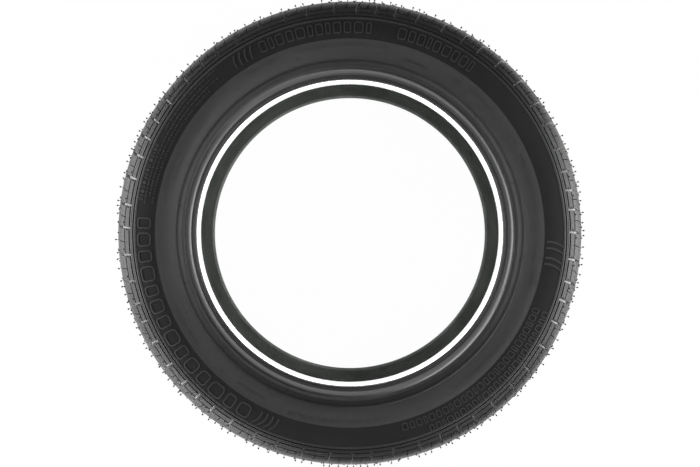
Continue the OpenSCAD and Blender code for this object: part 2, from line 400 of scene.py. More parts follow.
def distinct(points, least=0.03 * MM):
    """The points without those that repeat the one before."""
    kept = []
    for p in points:
        if not kept or math.dist(p, kept[-1]) > least:
            kept.append(p)
    return kept


def section_loop(sec):
    """The closed outline of the whole section, which starts and turns on the middle plane."""
    half = distinct(tread_points(sec) + side_points(sec) + bead_points(sec) + inner_points(sec))
    return half + [(r, -z) for r, z in half[-2:0:-1]]


def deselect():
    """Leaves object mode with nothing selected."""
    if bpy.context.object and bpy.context.object.mode != "OBJECT":
        bpy.ops.object.mode_set(mode="OBJECT")
    bpy.ops.object.select_all(action="DESELECT")


def make_active(obj):
    """Selects one object alone."""
    deselect()
    obj.select_set(True)
    bpy.context.view_layer.objects.active = obj


def start_edit(obj):
    """Opens an object in edit mode with all of it selected."""
    make_active(obj)
    bpy.ops.object.mode_set(mode="EDIT")
    bpy.ops.mesh.select_all(action="SELECT")


def end_edit():
    """Turns all faces of the open object outward and closes it."""
    bpy.ops.mesh.select_all(action="SELECT")
    bpy.ops.mesh.normals_make_consistent(inside=False)
    bpy.ops.object.mode_set(mode="OBJECT")


def closed_line(name, points):
    """A closed line: a circle primitive whose corners are moved to the points."""
    deselect()
    bpy.ops.mesh.primitive_circle_add(vertices=len(points), radius=1.0)
    obj = bpy.context.object
    obj.name = name
    for vertex, point in zip(obj.data.vertices, points):
        vertex.co = point
    return obj


def outline_object(name, points):
    """A closed outline in the XZ plane, from radius and height pairs."""
    return closed_line(name, [(r, 0.0, z) for r, z in points])


def turn_round_axis(obj, steps):
    """Spins the outline once round the wheel axis and closes the seam."""
    start_edit(obj)
    bpy.ops.mesh.spin(steps=steps, angle=math.tau, center=(0, 0, 0), axis=(0, 0, 1))
    bpy.ops.mesh.select_all(action="SELECT")
    bpy.ops.mesh.remove_doubles(threshold=0.01 * MM)
    end_edit()


def blade_object(name, outline, width):
    """A flat cutter: the outline in the XZ plane, extruded to its width."""
    obj = outline_object(name, outline)
    start_edit(obj)
    bpy.ops.mesh.edge_face_add()
    bpy.ops.mesh.extrude_region_move(TRANSFORM_OT_translate={"value": (0, width, 0)})
    bpy.ops.mesh.select_all(action="SELECT")
    bpy.ops.transform.translate(value=(0, -width / 2, 0))
    end_edit()
    return obj


def own_copy(template):
    """A copy of a template with a mesh of its own."""
    copy = template.copy()
    copy.data = template.data.copy()
    bpy.context.scene.collection.objects.link(copy)
    return copy


def stood_at(template, place):
    """A copy of a template, moved to its place within its mesh."""
    copy = own_copy(template)
    copy.data.transform(place)
    return copy


def join_all(name, objects):
    """Joins objects into one."""
    deselect()
    for obj in objects:
        obj.select_set(True)
    bpy.context.view_layer.objects.active = objects[0]
    bpy.ops.object.join()
    bpy.context.object.name = name
    return bpy.context.object


def delete(obj):
    """Removes a helper object."""
    bpy.data.objects.remove(obj, do_unlink=True)


def block_angles():
    """Angle at which each block starts, and the angle of its middle."""
    shares = [BLOCK_SIZES[kind] for kind in BLOCK_ORDER * ORDER_REPEATS]
    total = sum(shares)
    starts, middles, done = [], [], 0.0
    for share in shares:
        starts.append(math.tau * done / total)
        middles.append(math.tau * (done + share / 2) / total)
        done += share
    return starts, middles


def both_sides(place):
    """A place on the upper side, and the same place after the tyre is turned over about X."""
    return [place, Matrix.Rotation(math.pi, 4, "X") @ place]


def blade_place(angle, pivot_z, lean):
    """Where a blade stands: turned to its angle and leaning along the tread."""
    lift = Matrix.Translation((0, 0, pivot_z))
    tilt = lift @ Matrix.Rotation(lean, 4, "X") @ lift.inverted()
    return Matrix.Rotation(angle, 4, "Z") @ tilt


# How far the blades reach past the tyre
BLADE_PAST = 20 * MM
# How far before the tread's edge a shoulder blade's floor leaves the crown, and the radii that
# it passes down the side
BLADE_TURN = 4 * MM
BLADE_RADII = (245 * MM, 243 * MM, 240 * MM, 237 * MM)
# How much higher a rib cut's floor starts than it runs, and over what length
RIB_RUNOUT, RIB_RUNOUT_LENGTH = 1.5 * MM, 2 * MM


def shoulder_blade(sec, name, width, depth, side_depth, end_r):
    """The cutter for one slot: all above the floor of the cut, from the outer groove to its end."""
    start = sec.s.outer_groove_at
    turn = sec.edge_z - BLADE_TURN
    outline = [(sec.crown_at(z) - depth, z) for z in [start + (turn - start) * i / 4 for i in range(5)]]
    for r in [r for r in BLADE_RADII if r > end_r] + [end_r]:
        normal = sec.side_normal(r)
        outline.append((r - normal[0] * side_depth, sec.side_at(r) - normal[1] * side_depth))
    far_r, far_z = sec.tread_r + BLADE_PAST, sec.side_z + BLADE_PAST
    return blade_object(name, outline + [(end_r, far_z), (far_r, far_z), (far_r, start)], width)


def rib_blade(sec, cuts):
    """The cutter for one cut in the rib beside the shoulder, and the height that it turns about."""
    s = sec.s
    end, rib_to = s.outer_groove_at, s.outer_groove_at - s.outer_groove_w / 2
    start = rib_to - (rib_to - s.inner_groove_at) * cuts.rib_cut_share
    floor_r = sec.crown_at(end) - cuts.sipe_depth
    far_r = sec.tread_r + BLADE_PAST
    outline = [(floor_r + RIB_RUNOUT, start), (floor_r, start + RIB_RUNOUT_LENGTH), (floor_r, end),
               (far_r, end), (far_r, start)]
    return blade_object("rib_blade", outline, cuts.rib_cut_w), rib_to


def cutter_object(sec, cuts):
    """All blades of the tread, joined into one object."""
    starts, middles = block_angles()
    slot = shoulder_blade(sec, "slot_blade", cuts.slot_w, cuts.slot_depth, cuts.slot_side_depth,
                          cuts.slot_end_r)
    sipe = shoulder_blade(sec, "sipe_blade", cuts.sipe_w, cuts.sipe_depth, cuts.sipe_side_depth,
                          cuts.sipe_end_r)
    rib, rib_pivot = rib_blade(sec, cuts)
    blades = []
    for template, angles, pivot, turn in (
        (slot, starts, sec.edge_z, -cuts.slot_lean),
        (sipe, middles, sec.edge_z, -cuts.sipe_lean),
        (rib, starts, rib_pivot, cuts.rib_cut_lean),
    ):
        for angle in angles:
            for place in both_sides(blade_place(angle, pivot, turn)):
                blades.append(stood_at(template, place))
        delete(template)
    return join_all("blades", blades)


def cut_with(obj, cutter):
    """Cuts the cutter's shape out of the object."""
    make_active(obj)
    cut = obj.modifiers.new("cuts", "BOOLEAN")
    cut.operation = "DIFFERENCE"
    cut.solver = "MANIFOLD"
    cut.object = cutter
    bpy.ops.object.modifier_apply(modifier=cut.name)
    delete(cutter)


def finish_piece(obj, material):
    """Smooths, paints and hangs a finished piece on the tyre's body."""
    make_active(obj)
    bpy.ops.object.shade_smooth_by_angle(angle=SHARP_EDGE)
    obj.data.materials.clear()
    obj.data.materials.append(material)
    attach(obj, BODY)


# How far the marks stand out, and how deep they are rooted in the side
MARK_RISE = 0.8 * MM
DASH_RISE = 0.64 * MM
MARK_ROOT = 0.35 * MM

# Rows of blank raised frames: from and to in degrees; middle radius, height, widths, gap and stroke in mm
FRAME_ROWS = (
    (52.5, 76.5, 219.0, 12.6, (9.5, 7.5, 8.5, 5.0, 8.0), 2.4, 1.3),
    (81.5, 116.0, 219.0, 12.6, (8.0, 5.5, 9.0, 8.0, 10.5, 6.0), 2.6, 1.3),
    (175.0, 241.0, 219.2, 15.4, (15.0, 12.0, 17.0, 13.0), 4.0, 1.7),
    (290.5, 338.0, 225.0, 7.6, (6.5, 5.0, 7.5, 3.5, 6.0, 5.5), 1.9, 1.1),
    (284.5, 338.0, 214.0, 7.8, (5.5, 7.0, 4.0, 6.5), 1.9, 1.1),
    (5.0, 25.0, 202.0, 6.6, (20.0, 19.0, 18.0), 4.5, 0.9),
    (343.0, 348.5, 202.0, 6.6, (18.0,), 4.5, 0.9),
)
# Frames wider than this are split more often, so that they follow the tyre round
LONG_FRAME = 14

# Rows of small raised boxes: from and to in degrees; middle radius and height in mm
DASH_ROWS = (
    (154.0, 171.0, 225.3, 4.2), (129.0, 151.0, 225.3, 2.5), (132.5, 172.0, 220.6, 2.3),
    (130.0, 169.5, 216.4, 2.3), (134.0, 171.5, 212.2, 2.3), (131.0, 166.0, 203.8, 2.8),
    (137.0, 170.0, 199.2, 2.2), (141.0, 164.0, 194.6, 2.2), (26.5, 32.5, 201.5, 3.2),
    (39.0, 52.0, 203.6, 2.6), (40.5, 50.0, 199.0, 2.4), (77.5, 106.5, 201.0, 4.2),
    (112.0, 122.0, 201.0, 3.4), (203.0, 217.0, 201.0, 3.8), (251.0, 281.5, 201.2, 4.2),
    (301.5, 331.5, 203.6, 3.0), (303.5, 328.0, 198.4, 2.8), (64.0, 72.0, 193.5, 2.4),
    (232.0, 243.0, 198.0, 2.8),
)
# Their shapes in turn, as shares of the height: width and stroke. A stroke of 0 is a full box and a
# width of 0 a space. Each row starts five shapes further on.
DASH_SHAPES = (
    (0.72, 0.22), (0.3, 0), (0.8, 0), (0.62, 0.22), (0.72, 0), (0, 0),
    (0.3, 0), (0.7, 0.22), (0.55, 0), (0.72, 0.22), (0, 0), (0.8, 0),
    (0.66, 0.22), (0.3, 0), (0.62, 0), (0.72, 0.22), (0.72, 0), (0, 0),
)
DASH_SHIFT = 5
# Gap between two of them, and rounding of a box's corners as a share of its width
DASH_GAP = 0.42
DASH_CORNER = 0.25

# Single rings: angle in degrees, middle radius and diameter in mm, with one stroke for all
MARK_RINGS = ((353.2, 201.9, 11.5), (55.0, 201.4, 10.0))
RING_STROKE = 0.9 * MM

# Groups of slanted stripes: first angle, count and step in degrees; middle radius, length, slant
# and width in mm
STRIPES = (
    (118.5, 4, 1.75, 219.0, 14.0, 4.0, 2.0), (243.2, 4, 1.7, 219.2, 15.4, 6.0, 2.2),
    (350.4, 2, 1.8, 219.0, 19.0, 5.0, 2.2), (355.0, 2, 1.8, 219.0, 19.0, 5.0, 2.2),
)
# Bow of a stripe, as a share of its slant, and the steps along it
BOW = 0.35
STRIPE_STEPS = 8


def lay_on_side(sec, mesh, angle, radius):
    """Bends a flat moulding onto the side: its X runs round the tyre, its Y outwards, its Z up."""
    for vertex in mesh.vertices:
        x, y, z = vertex.co
        (r, height), normal = surface_at(sec, radius + y)
        turn = angle - x / radius
        r += normal[0] * z
        top = min(height + normal[1] * z, sec.side_z)
        vertex.co = (r * math.cos(turn), r * math.sin(turn), top)


def moulding(name, outline, rise, stroke=0.0):
    """A flat raised shape in the XY plane: filled, or a frame of the given stroke."""
    obj = closed_line(name, [(x, y, -MARK_ROOT) for x, y in outline])
    start_edit(obj)
    bpy.ops.mesh.edge_face_add()
    if stroke:
        bpy.ops.mesh.inset(thickness=stroke, depth=0.0)
        bpy.ops.mesh.delete(type="FACE")
        bpy.ops.mesh.select_all(action="SELECT")
    bpy.ops.mesh.extrude_region_move(TRANSFORM_OT_translate={"value": (0, 0, rise + MARK_ROOT)})
    end_edit()
    return obj


def round_box(width, height, corner, steps, splits=1):
    """Outline of a rounded rectangle, its long sides split where it follows the tyre round."""
    x, y = width / 2 - corner, height / 2 - corner
    points = []
    for cx, cy, start in ((x, y, 0), (-x, y, 90), (-x, -y, 180), (x, -y, 270)):
        points += arc((cx, cy), corner, math.radians(start), math.radians(start + 90), steps)
        if start in (0, 180):
            side = 1 if start == 0 else -1
            for i in range(1, splits):
                points.append((side * (x - 2 * x * i / splits), side * height / 2))
    return points


def bowed_stripe(width, long, slant):
    """Outline of a slanted stripe that bows to one side."""
    edge = []
    for i in range(STRIPE_STEPS + 1):
        share = i / STRIPE_STEPS - 0.5
        edge.append((slant * share + slant * BOW * (4 * share * share - 1), long * share))
    return [(x + width / 2, y) for x, y in edge] + [(x - width / 2, y) for x, y in edge[::-1]]


def laid_copies(sec, template, places):
    """Copies of a moulding laid on both sides of the tyre, as a list of objects."""
    made = []
    for angle, radius in places:
        for turned in both_sides(Matrix.Identity(4)):
            copy = own_copy(template)
            lay_on_side(sec, copy.data, angle, radius)
            copy.data.transform(turned)
            made.append(copy)
    delete(template)
    return made


def row_places(start, end, radius, widths, gap):
    """Place in the row, width and middle angle of each item of a row that runs from end to start."""
    room = math.radians(end - start) * radius * MM
    items, used = [], 0.0
    for i in itertools.count():
        width = widths[i % len(widths)]
        if used + width * MM > room:
            return items
        items.append((i, width, math.radians(end) - (used + width * MM / 2) / (radius * MM)))
        used += width * MM + gap * MM


def frames(sec):
    """The rows of blank frames."""
    made = []
    for start, end, radius, height, widths, gap, stroke in FRAME_ROWS:
        items = row_places(start, end, radius, widths, gap)
        corner_share = 0.5 if stroke < 1 else 0.3
        for kind in sorted({width for _, width, _ in items}):
            corner = min(kind, height) * corner_share * MM
            outline = round_box(kind * MM, height * MM, corner, 4, 5 if kind > LONG_FRAME else 2)
            places = [(angle, radius * MM) for _, width, angle in items if width == kind]
            made += laid_copies(sec, moulding("frame", outline, MARK_RISE, stroke * MM), places)
    return made


def dashes(sec):
    """The rows of small boxes, in an order that spells nothing."""
    made = []
    for row, (start, end, radius, height) in enumerate(DASH_ROWS):
        first = row * DASH_SHIFT % len(DASH_SHAPES)
        shapes = [(round(width * height, 3), round(stroke * height, 3))
                  for width, stroke in DASH_SHAPES[first:] + DASH_SHAPES[:first]]
        items = row_places(start, end, radius, [width for width, _ in shapes], DASH_GAP * height)
        for kind in sorted(set(shapes)):
            places = [(angle, radius * MM) for i, _, angle in items if shapes[i % len(shapes)] == kind]
            width, stroke = kind
            if width and places:
                outline = round_box(width * MM, height * MM, DASH_CORNER * width * MM, 1)
                made += laid_copies(sec, moulding("dash", outline, DASH_RISE, stroke * MM), places)
    return made


def rings_and_stripes(sec):
    """The single rings and the groups of bowed stripes."""
    made = []
    for angle, radius, across in MARK_RINGS:
        outline = arc((0, 0), across / 2 * MM, 0, math.tau, 24)[:-1]
        ring = moulding("ring", outline, MARK_RISE, RING_STROKE)
        made += laid_copies(sec, ring, [(math.radians(angle), radius * MM)])
    for first, count, step, radius, long, slant, width in STRIPES:
        stripe = moulding("stripe", bowed_stripe(width * MM, long * MM, slant * MM), MARK_RISE)
        places = [(math.radians(first + step * i), radius * MM) for i in range(count)]
        made += laid_copies(sec, stripe, places)
    return made


class TYRE_OT_marks(bpy.types.Operator):
    """Raises blank frames, boxes, rings and stripes where a tyre carries its moulded marks"""
    bl_idname = "tyre.marks"
    bl_label = "Blank moulded marks"

    def execute(self, context):
        sec = Section(sizes())
        made = frames(sec) + dashes(sec) + rings_and_stripes(sec)
        finish_piece(join_all("blank_marks", made), shared_rubber())
        return {"FINISHED"}


# Seed of the vents' random strays
SEED = 13
# Vent hairs: radius of the stalk, how much it thins, and radius of the knob on a long and a short one
HAIR_R = 0.34 * MM
HAIR_THINS = 0.35
LONG_KNOB, SHORT_KNOB = 0.9 * MM, 0.75 * MM
# Their kinds: length in mm and bend as a share of it
LONG_HAIRS = ((2.3, 0.1), (2.8, 0.35), (1.9, -0.3), (3.0, 0.0))
SHORT_HAIRS = ((1.5, 0.1), (1.2, -0.3))
# Where they stand beside each slot: distance from it and height on the tread in mm, and whether long
HAIR_SPOTS = ((3.4, 54.0, True), (5.2, 72.0, False), (6.5, 32.0, False))
# Share of them that is torn off, and how far the others stray along the tread, across it (in mm) and
# in their lean
HAIRS_LOST = 0.1
STRAY_ALONG, STRAY_ACROSS, STRAY_LEAN = 0.8, 3.0, 0.15
# One more on each block: how far before its middle at most, as an angle, and between which heights in mm
BLOCK_HAIR_BACK = 0.012
BLOCK_HAIR_LOW, BLOCK_HAIR_HIGH = 50.0, 60.0
# How deep hairs and stubs are rooted
HAIR_ROOT, STUB_ROOT = 0.4 * MM, 0.3 * MM

# Trimmed vent stubs: radius and height, and those of the pad under one on the shoulder
STUB_R, STUB_H = 0.75 * MM, 1.3 * MM
PAD_R, PAD_H = 1.25 * MM, 0.6 * MM
# Where they stand by each slot: radius and distance from it, and how far they stray, in mm
STUB_SPOTS = ((243.0, -5.8), (239.0, 3.1))
STUB_STRAY = 0.4
# Rings of stubs on the side: radius in mm, how many round, first angle and random wander in degrees
STUB_RINGS = ((206.1, 14, 11.0, 0.4), (193.6, 14, 3.0, 4.0), (184.6, 14, 17.0, 0.5))


def hair(length_, bend, knob):
    """A vent hair: a thin bent stalk with a small knob at its end."""
    stalk = spike("hair", HAIR_R, length_, 5, 2, bend)
    deselect()
    bpy.ops.mesh.primitive_uv_sphere_add(segments=7, ring_count=5, radius=knob)
    ball = bpy.context.object
    end = Matrix.Translation((bend * length_, 0, length_))
    ball.data.transform(end @ Matrix.Diagonal((1, 1, 1.15, 1)))
    return join_all("hair", [stalk, ball])


def spike(name, radius, length_, sides, rings, bend):
    """A vent hair's stalk or a stub: a cylinder that thins and bends towards its end."""
    deselect()
    bpy.ops.mesh.primitive_cylinder_add(vertices=sides, radius=radius, depth=length_)
    obj = bpy.context.object
    obj.name = name
    bpy.ops.object.mode_set(mode="EDIT")
    for i in range(1, rings):
        bpy.ops.mesh.select_all(action="SELECT")
        bpy.ops.mesh.bisect(plane_co=(0, 0, length_ * (i / rings - 0.5)), plane_no=(0, 0, 1))
    bpy.ops.object.mode_set(mode="OBJECT")
    for vertex in obj.data.vertices:
        along = vertex.co.z / length_ + 0.5
        thin = 1.0 - HAIR_THINS * along
        x, y = vertex.co.x * thin, vertex.co.y * thin
        vertex.co = (x + bend * length_ * along * along, y, along * length_)
    return obj


def stand_on_tread(sec, angle, z, lean, twist):
    """Place of something that stands on the tread at an angle and a height."""
    r = sec.crown_at(z) - HAIR_ROOT
    tilt = math.atan2(z, r - sec.crown_c[0])
    return (Matrix.Rotation(angle, 4, "Z") @ Matrix.Translation((r, 0, z))
            @ Matrix.Rotation(math.pi / 2 - tilt + lean, 4, "Y") @ Matrix.Rotation(twist, 4, "Z"))


def stand_on_side(sec, angle, radius):
    """Place of a stub that stands on the upper side at an angle and a radius, below the full width."""
    (r, z), normal = surface_at(sec, radius)
    tilt = math.atan2(normal[0], normal[1])
    foot = min(z - STUB_ROOT, sec.side_z - STUB_H)
    stand = Matrix.Translation((r, 0, foot)) @ Matrix.Rotation(tilt, 4, "Y")
    return Matrix.Rotation(angle, 4, "Z") @ stand


def hairs_by_slot(sec, dice, start, turned, long_hairs, short_hairs):
    """Hairs on both sides of the slot at an angle, on one side of the tyre."""
    made = []
    for side in (-1, 1):
        for off, z, is_long in HAIR_SPOTS:
            if dice.random() < HAIRS_LOST:
                continue
            stray = dice.uniform(-STRAY_ALONG, STRAY_ALONG)
            angle = start + side * (off + stray) * MM / sec.tread_r
            height = (z + dice.uniform(-STRAY_ACROSS, STRAY_ACROSS)) * MM
            lean = dice.uniform(-STRAY_LEAN, STRAY_LEAN)
            place = stand_on_tread(sec, angle, height, lean, dice.uniform(0, math.tau))
            kind = dice.choice(long_hairs if is_long else short_hairs)
            made.append(stood_at(kind, turned @ place))
    return made


def hair_on_block(sec, dice, middle, turned, long_hairs):
    """One hair near the middle of a block."""
    angle = middle - dice.uniform(0.0, BLOCK_HAIR_BACK)
    height = dice.uniform(BLOCK_HAIR_LOW, BLOCK_HAIR_HIGH) * MM
    place = stand_on_tread(sec, angle, height, 0.0, dice.uniform(0, math.tau))
    return stood_at(dice.choice(long_hairs), turned @ place)


def stubs_by_slot(sec, dice, start, turned, stub, pad):
    """Trimmed stubs with their pads on the shoulder beside a slot."""
    made = []
    for radius, off in STUB_SPOTS:
        angle = start + (off + dice.uniform(-STUB_STRAY, STUB_STRAY)) * MM / sec.tread_r
        place = stand_on_side(sec, angle, radius * MM)
        made += [stood_at(kind, turned @ place) for kind in (pad, stub)]
    return made


def stub_rings(sec, dice, stub):
    """The rings of stubs on both sides, down to the flange hollow."""
    made = []
    for radius, count, first, wander in STUB_RINGS:
        for i in range(count):
            angle = math.radians(first + 360 / count * i + dice.uniform(-wander, wander))
            for turned in both_sides(Matrix.Identity(4)):
                made.append(stood_at(stub, turned @ stand_on_side(sec, angle, radius * MM)))
    return made


class TYRE_OT_vents(bpy.types.Operator):
    """Stands vent hairs on the tread blocks, and stubs on the shoulders and sidewalls"""
    bl_idname = "tyre.vents"
    bl_label = "Vent hairs"

    def execute(self, context):
        sec = Section(sizes())
        dice = random.Random(SEED)
        long_hairs = [hair(size * MM, bend, LONG_KNOB) for size, bend in LONG_HAIRS]
        short_hairs = [hair(size * MM, bend, SHORT_KNOB) for size, bend in SHORT_HAIRS]
        stub = spike("stub", STUB_R, STUB_H, 8, 1, 0.0)
        pad = spike("pad", PAD_R, PAD_H, 10, 1, 0.0)
        hairs, stubs = [], []
        for start, middle in zip(*block_angles()):
            for turned in both_sides(Matrix.Identity(4)):
                hairs += hairs_by_slot(sec, dice, start, turned, long_hairs, short_hairs)
                hairs.append(hair_on_block(sec, dice, middle, turned, long_hairs))
                stubs += stubs_by_slot(sec, dice, start, turned, stub, pad)
        stubs += stub_rings(sec, dice, stub)
        for template in long_hairs + short_hairs + [stub, pad]:
            delete(template)
        thin_rubber = hair_material(tuple(context.scene.tyre_finish.rubber))
        finish_piece(join_all("vent_hairs", hairs), thin_rubber)
        finish_piece(join_all("vent_stubs", stubs), shared_rubber())
        return {"FINISHED"}


# Joints between the mould's sectors: first angle in degrees, how many, middle radius, length and rise
SECTOR_START, SECTORS = 29.7, 8
JOINT_R, JOINT_LENGTH, JOINT_RISE = 242.0 * MM, 10 * MM, 0.3 * MM
# Short ribs by the rim line: how far inside the last ring of stubs, length and rise
RIB_IN, RIB_LENGTH, RIB_RISE = 3.5 * MM, 6.0 * MM, 0.35 * MM
# Width of both, and the rounding of their corners
SEAM_W, SEAM_CORNER = 0.5 * MM, 0.1 * MM


class TYRE_OT_seams(bpy.types.Operator):
    """Raises the thin joints of the mould's sectors and the short ribs by the rim line"""
    bl_idname = "tyre.seams"
    bl_label = "Mould joints"

    def execute(self, context):
        sec = Section(sizes())
        radius, count, first, _ = STUB_RINGS[-1]
        made = []
        for name, long, rise, parts, start, at in (
            ("joint", JOINT_LENGTH, JOINT_RISE, SECTORS, SECTOR_START, JOINT_R),
            ("rib", RIB_LENGTH, RIB_RISE, count, first, radius * MM - RIB_IN),
        ):
            shape = moulding(name, round_box(SEAM_W, long, SEAM_CORNER, 1), rise)
            places = [(math.radians(start + 360 / parts * i), at) for i in range(parts)]
            made += laid_copies(sec, shape, places)
        finish_piece(join_all("mould_joints", made), shared_rubber())
        return {"FINISHED"}


class Graph:
    """Short names for the shader nodes that the finishes and the stage need."""

    def __init__(self, owner):
        owner.use_nodes = True
        self.tree = owner.node_tree
        self.tree.nodes.clear()

    def node(self, kind, **values):
        made = self.tree.nodes.new(kind)
        for key, value in values.items():
            setattr(made, key, value)
        return made

    def feed(self, socket, value):
        """Links an output to a socket, or sets the socket to a constant."""
        if isinstance(value, bpy.types.NodeSocket):
            self.tree.links.new(value, socket)
        else:
            socket.default_value = value

    def fed(self, kind, inputs, **values):
        """A node with some of its inputs fed, by name or number."""
        made = self.node(kind, **values)
        for key, value in inputs.items():
            self.feed(made.inputs[key], value)
        return made

    def math(self, operation, a, b=0.0):
        return self.fed("ShaderNodeMath", {0: a, 1: b}, operation=operation).outputs[0]

    def spread(self, value, low, high, to_low=0.0, to_high=1.0, kind="LINEAR"):
        """The value, spread from one range to another."""
        inputs = {"Value": value, "From Min": low, "From Max": high, "To Min": to_low, "To Max": to_high}
        return self.fed("ShaderNodeMapRange", inputs, interpolation_type=kind).outputs[0]

    def between(self, value, low, high, soft):
        """1 where value lies from low to high, with soft edges, else 0."""
        rise = self.spread(value, low - soft, low + soft, kind="SMOOTHSTEP")
        fall = self.spread(value, high - soft, high + soft, kind="SMOOTHSTEP")
        return self.math("MULTIPLY", rise, self.math("SUBTRACT", 1.0, fall))

    def coords(self):
        return self.node("ShaderNodeTexCoord").outputs["Object"]

    def place(self):
        """Radius from the axis, angle round it and height above the middle plane."""
        x, y, z = self.fed("ShaderNodeSeparateXYZ", {0: self.coords()}).outputs
        across = self.math("ADD", self.math("MULTIPLY", x, x), self.math("MULTIPLY", y, y))
        return self.math("SQRT", across), self.math("ARCTAN2", y, x), z

    def noise(self, scale, detail):
        """Noise whose scale counts its lumps across the casing, each way."""
        s = sizes()
        casing = (s.tyre_d, s.tyre_d, s.section_w - 2 * MARK_ROOM)
        across = [1 / side for side in casing]
        inputs = {"Vector": self.coords(), "Location": (0.5, 0.5, 0.5), "Scale": across}
        share = self.fed("ShaderNodeMapping", inputs).outputs[0]
        inputs = {"Vector": share, "Scale": scale, "Detail": detail, "Roughness": 0.55}
        return self.fed("ShaderNodeTexNoise", inputs).outputs["Fac"]

    def wave(self, value, count):
        """A sine that runs count times while value runs by one turn of radians."""
        return self.math("SINE", self.math("MULTIPLY", value, count))

    def bump(self, height, distance, normal=None):
        inputs = {"Strength": 1.0, "Distance": distance, "Height": height}
        if normal is not None:
            inputs["Normal"] = normal
        return self.fed("ShaderNodeBump", inputs).outputs[0]

    def mix(self, share, first, second):
        """The first shader, with a share of it replaced by the second."""
        return self.fed("ShaderNodeMixShader", {0: share, 1: first, 2: second}).outputs[0]

    def surface(self, inputs):
        """Makes a principled surface with these inputs the material's own."""
        self.show(self.fed("ShaderNodeBsdfPrincipled", inputs).outputs[0])

    def show(self, shader, kind="ShaderNodeOutputMaterial"):
        """Ends the graph in a shader."""
        self.fed(kind, {"Surface": shader})


def ramp(graph, value, stops):
    """A colour ramp with grey or colour stops."""
    made = graph.fed("ShaderNodeValToRGB", {0: value})
    elements = made.color_ramp.elements
    while len(elements) > 1:
        elements.remove(elements[-1])
    elements[0].position = stops[0][0]
    for position, _ in stops[1:]:
        elements.new(position)
    for element, (_, colour) in zip(elements, stops):
        grey = (colour, colour, colour) if isinstance(colour, float) else colour
        element.color = (*grey, 1.0)
    return made.outputs[0]


def shade(colour, share):
    """A colour made darker or lighter by a share."""
    return tuple(c * share for c in colour)


# Radii in metres at which the roughness changes, from the toe to the tread, with its value there
ROUGHNESS = (
    (0.160, 0.36), (0.1645, 0.30), (0.169, 0.36), (0.1708, 0.33), (0.1772, 0.33), (0.179, 0.46),
    (0.185, 0.52), (0.188, 0.46), (0.206, 0.50), (0.2075, 0.78), (0.228, 0.78), (0.230, 0.42),
    (0.246, 0.44), (0.262, 0.62),
)
# How much the roughness varies from spot to spot
ROUGH_SPREAD = 0.10
# Where the casing's side lies, the sunk band, the hatched line by the blocks and the turned wall, each
# with the softness of its edges: height above the middle plane for the first, radius for the others
SIDE_ZONE = (0.080, 0.2, 0.001)
BAND_ZONE = (0.2074, 0.2280, 0.0003)
HATCH_ZONE = (0.2372, 0.2408, 0.0002)
TURNED_ZONE = (0.1875, 0.2065, 0.001)
# Lines round the tyre in the band and the hatch, the hatch's slant, and how close the turned lines are
BAND_COUNT, HATCH_COUNT, HATCH_SLANT, TURNED_COUNT = 720.0, 540.0, 5.0, 9000.0
# Depths of the fine grain and of those lines
GRAIN, SMOOTH_GRAIN = 0.00012, 0.00003
BAND_DEPTH, HATCH_DEPTH, TURNED_DEPTH = 0.00003, 0.00006, 0.00002
# The liner's colour against the rubber's, made pale as painted light for the light inside the tyre
LINER_PAINTED_LIGHT = 14.0
# Its fine slanting lines: how many round the tyre, slant, share of the tone, and depth
LINER_COUNT, LINER_SLANT, LINER_TONE, LINER_DEPTH = 424.0, 4.1, 0.12, 0.00015
# Seat skin's colour against the rubber's, paled as a painted reflection; how far above the toe it starts
SEAT_PAINTED_REFLECTION = 6.0
SKIN_FOOT = 5 * MM


def rubber_material(name, colour, gloss=0.5, ior=1.5, grain=GRAIN):
    """Vulcanised rubber: one compound, whose grain and lines change with the radius."""
    material = bpy.data.materials.new(name)
    g = Graph(material)
    radius, angle, z = g.place()

    blotch = g.noise(60.0, 4.0)
    tone = g.math("ADD", g.math("MULTIPLY", g.noise(9.0, 3.0), 0.5), g.math("MULTIPLY", blotch, 0.5))
    base = ramp(g, tone, ((0.32, shade(colour, 0.82)), (0.5, colour), (0.68, shade(colour, 1.22))))

    first, last = ROUGHNESS[0][0], ROUGHNESS[-1][0]
    stops = [((r - first) / (last - first), value) for r, value in ROUGHNESS]
    rough = ramp(g, g.spread(radius, first, last), stops)
    rough = g.math("ADD", rough, g.math("MULTIPLY", g.math("SUBTRACT", blotch, 0.5), ROUGH_SPREAD))

    outside = g.between(g.math("ABSOLUTE", z), *SIDE_ZONE)
    band = g.math("MULTIPLY", g.between(radius, *BAND_ZONE), outside)
    hatch = g.math("MULTIPLY", g.between(radius, *HATCH_ZONE), outside)
    slanted = g.math("ADD", angle, g.math("MULTIPLY", radius, HATCH_SLANT))
    band_lines = g.math("MULTIPLY", g.wave(angle, BAND_COUNT), band)
    hatch_lines = g.math("MULTIPLY", g.wave(slanted, HATCH_COUNT), hatch)
    turned = g.math("MULTIPLY", g.wave(radius, TURNED_COUNT), g.between(radius, *TURNED_ZONE))

    normal = g.bump(g.noise(1400.0, 4.0), grain)
    normal = g.bump(band_lines, BAND_DEPTH, normal)
    normal = g.bump(hatch_lines, HATCH_DEPTH, normal)
    normal = g.bump(turned, TURNED_DEPTH, normal)
    g.surface({"Base Color": base, "Roughness": rough, "Normal": normal,
               "Specular IOR Level": gloss, "IOR": ior})
    return material


